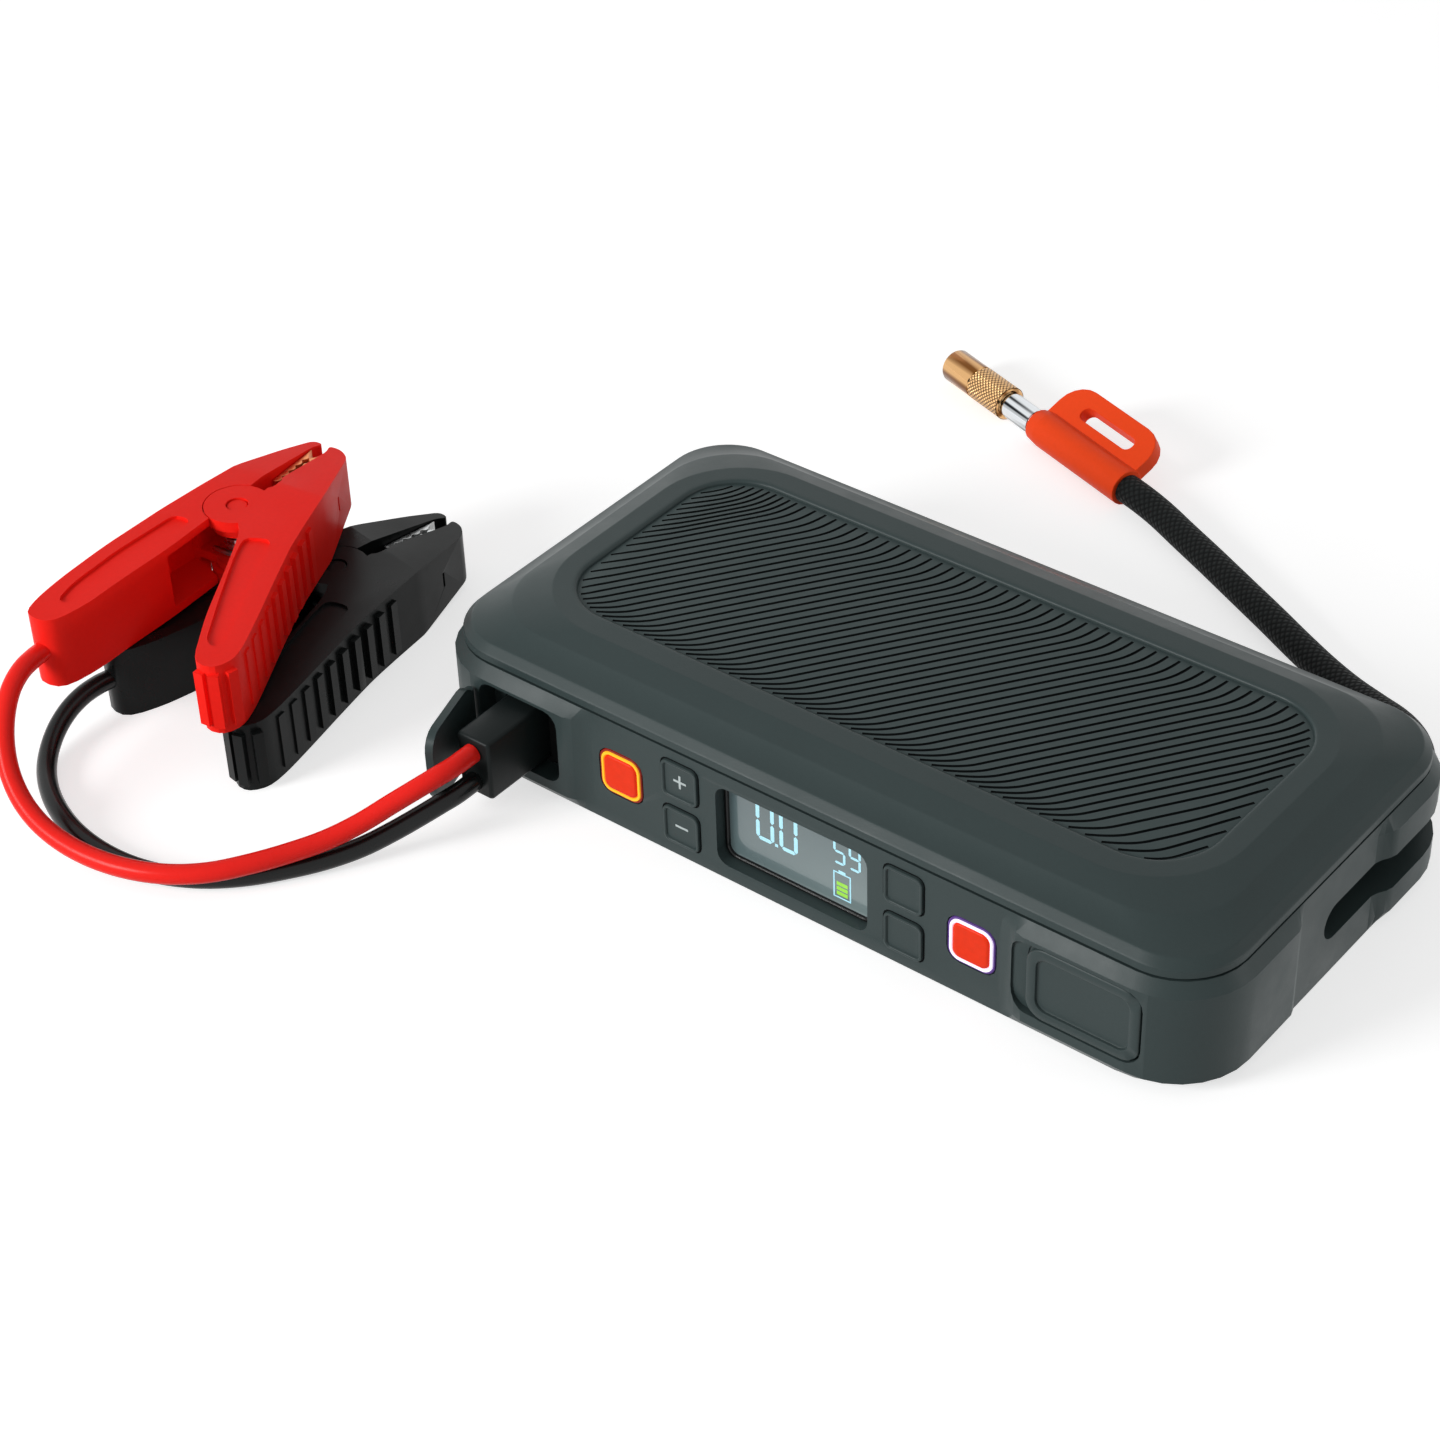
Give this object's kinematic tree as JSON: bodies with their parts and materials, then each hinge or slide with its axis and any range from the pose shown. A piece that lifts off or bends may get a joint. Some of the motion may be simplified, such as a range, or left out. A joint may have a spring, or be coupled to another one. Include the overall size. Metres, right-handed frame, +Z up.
{
  "type": "portable jump starter pack",
  "caption": "Flat battery jump starter with display, push buttons, built-in tyre inflator hose with pull tab, and a plug-in cable set with two spring clamps.",
  "frame": {"origin": "middle of the flat underside of the case", "axes": "+X along the case to its right-hand end, -Y out of the console with the buttons and display, +Z up"},
  "size_m": [0.3226, 0.324, 0.044],
  "materials": {
    "case_plastic": "fine satin texture",
    "grip_plastic": "satin with wavy grip grooves",
    "trim_plastic": "satin",
    "foot_rubber": "matte",
    "screw_steel": "zinc plated",
    "orange_plastic": "semi-gloss",
    "amber_light": "translucent, lit amber",
    "white_light": "translucent, lit white",
    "display_glass": "smoked gloss window",
    "display_panel": "lit segment display",
    "circuit_board": "solder mask",
    "black_plastic": "moulded satin",
    "black_rubber": "matte",
    "socket_steel": "stamped shell",
    "red_plastic": "moulded satin",
    "red_silicone": "smooth silicone jacket",
    "black_silicone": "smooth silicone jacket",
    "hose_cover": "fine braid",
    "copper": "stamped copper plate",
    "tinned_steel": "stamped, tinned",
    "spring_steel": "drawn wire",
    "chrome": "polished",
    "brass": "turned",
    "motor_steel": "plated can",
    "aluminium": "die cast",
    "nylon": "natural nylon",
    "battery_wrap": "heat shrink film"
  },
  "bodies": {
    "pack": {"lower_case": "case_plastic", "top_cover": "case_plastic", "seam_seal": "black_rubber", "grip_panel": "grip_plastic", "case_screw_front_left": "screw_steel", "case_screw_front_right": "screw_steel", "case_screw_rear_left": "screw_steel", "case_screw_rear_right": "screw_steel", "rubber_foot_front_left": "foot_rubber", "rubber_foot_front_right": "foot_rubber", "rubber_foot_rear_left": "foot_rubber", "rubber_foot_rear_right": "foot_rubber", "hose_sleeve": "orange_plastic", "start_light_ring": "amber_light", "power_light_ring": "white_light", "display_lens": "display_glass", "display_module": "display_panel", "control_board": "circuit_board", "main_board": "circuit_board", "usb_block": "black_plastic", "usb_a_socket": "socket_steel", "usb_c_socket": "socket_steel", "jump_socket": "black_rubber", "hose_gland": "black_plastic", "air_hose": "hose_cover", "hose_ferrule": "chrome", "battery_pack": "battery_wrap", "compressor_motor": "motor_steel", "gearbox_plate": "aluminium", "compressor_cylinder": "aluminium", "air_pipe": "black_rubber"},
    "plus_button": {"plus_button": "trim_plastic"},
    "minus_button": {"minus_button": "trim_plastic"},
    "unit_button": {"unit_button": "trim_plastic"},
    "air_button": {"air_button": "trim_plastic"},
    "start_button": {"start_button": "orange_plastic"},
    "power_button": {"power_button": "orange_plastic"},
    "usb_door": {"usb_door": "trim_plastic"},
    "port_cover": {"port_cover": "trim_plastic"},
    "plug_set": {"jump_plug": "black_plastic", "plug_contact_positive": "brass", "plug_contact_negative": "brass", "red_cable": "red_silicone", "black_cable": "black_silicone", "red_cable_handle": "red_plastic", "red_cable_jaw": "copper", "red_pivot_pin": "red_plastic", "red_spring": "spring_steel", "black_cable_handle": "black_plastic", "black_cable_jaw": "tinned_steel", "black_pivot_pin": "black_plastic", "black_spring": "spring_steel"},
    "red_grip": {"red_moving_handle": "red_plastic", "red_moving_jaw": "copper"},
    "black_grip": {"black_moving_handle": "black_plastic", "black_moving_jaw": "tinned_steel"},
    "brass_chuck": {"brass_chuck": "brass"},
    "motor_pinion": {"motor_pinion": "brass"},
    "crank_gear": {"crank_gear": "nylon"},
    "piston": {"piston": "aluminium"}
  },
  "joints": [
    {"name": "start_button_press", "type": "slide", "parent": "pack", "child": "start_button", "axis": [0, 1, 0], "range_m": [0, 0.0006], "stiffness_N_per_m": 900, "springref_m": -0.0006},
    {"name": "power_button_press", "type": "slide", "parent": "pack", "child": "power_button", "axis": [0, 1, 0], "range_m": [0, 0.0006], "stiffness_N_per_m": 900, "springref_m": -0.0006},
    {"name": "plus_button_press", "type": "slide", "parent": "pack", "child": "plus_button", "axis": [0, 1, 0], "range_m": [0, 0.0006], "stiffness_N_per_m": 900, "springref_m": -0.0006},
    {"name": "minus_button_press", "type": "slide", "parent": "pack", "child": "minus_button", "axis": [0, 1, 0], "range_m": [0, 0.0006], "stiffness_N_per_m": 900, "springref_m": -0.0006},
    {"name": "unit_button_press", "type": "slide", "parent": "pack", "child": "unit_button", "axis": [0, 1, 0], "range_m": [0, 0.0006], "stiffness_N_per_m": 900, "springref_m": -0.0006},
    {"name": "air_button_press", "type": "slide", "parent": "pack", "child": "air_button", "axis": [0, 1, 0], "range_m": [0, 0.0006], "stiffness_N_per_m": 900, "springref_m": -0.0006},
    {"name": "usb_door_hinge", "type": "hinge", "parent": "pack", "child": "usb_door", "pos_m": [0.0993, -0.059, 0.0177], "axis": [0, 0, 1], "range_deg": [0, 100]},
    {"name": "port_cover_hinge", "type": "hinge", "parent": "pack", "child": "port_cover", "pos_m": [-0.1004, -0.0614, 0.0178], "axis": [0, 0, 1], "range_deg": [-55, 0]},
    {"name": "plug_pull", "type": "slide", "parent": "pack", "child": "plug_set", "axis": [0, -1, 0], "range_m": [0, 0.024]},
    {"name": "red_clamp_squeeze", "type": "hinge", "parent": "plug_set", "child": "red_grip", "pos_m": [-0.19, -0.0526, 0.0318], "axis": [0, 0, -1], "range_deg": [0, 28], "stiffness_Nm_per_rad": 0.8, "springref_deg": -17.19},
    {"name": "black_clamp_squeeze", "type": "hinge", "parent": "plug_set", "child": "black_grip", "pos_m": [-0.1717, -0.0367, 0.0105], "axis": [0, 0, -1], "range_deg": [0, 28], "stiffness_Nm_per_rad": 0.8, "springref_deg": -17.19},
    {"name": "chuck_spin", "type": "hinge", "parent": "pack", "child": "brass_chuck", "pos_m": [-0.1, 0.16276, 0.0054], "axis": [-0.9483, 0.3173, 0], "continuous": true},
    {"name": "crank_spin", "type": "hinge", "parent": "pack", "child": "crank_gear", "pos_m": [0.0456, -0.00415, 0.018], "axis": [1, 0, 0], "continuous": true},
    {"name": "pinion_spin", "type": "hinge", "parent": "pack", "child": "motor_pinion", "pos_m": [0.0456, -0.022, 0.018], "axis": [1, 0, 0], "continuous": true},
    {"name": "piston_stroke", "type": "slide", "parent": "pack", "child": "piston", "axis": [0, -1, 0], "range_m": [0, 0.01]}
  ],
  "couplings": [
    {"joint": "pinion_spin", "follows": "crank_spin", "ratio": -4}
  ]
}
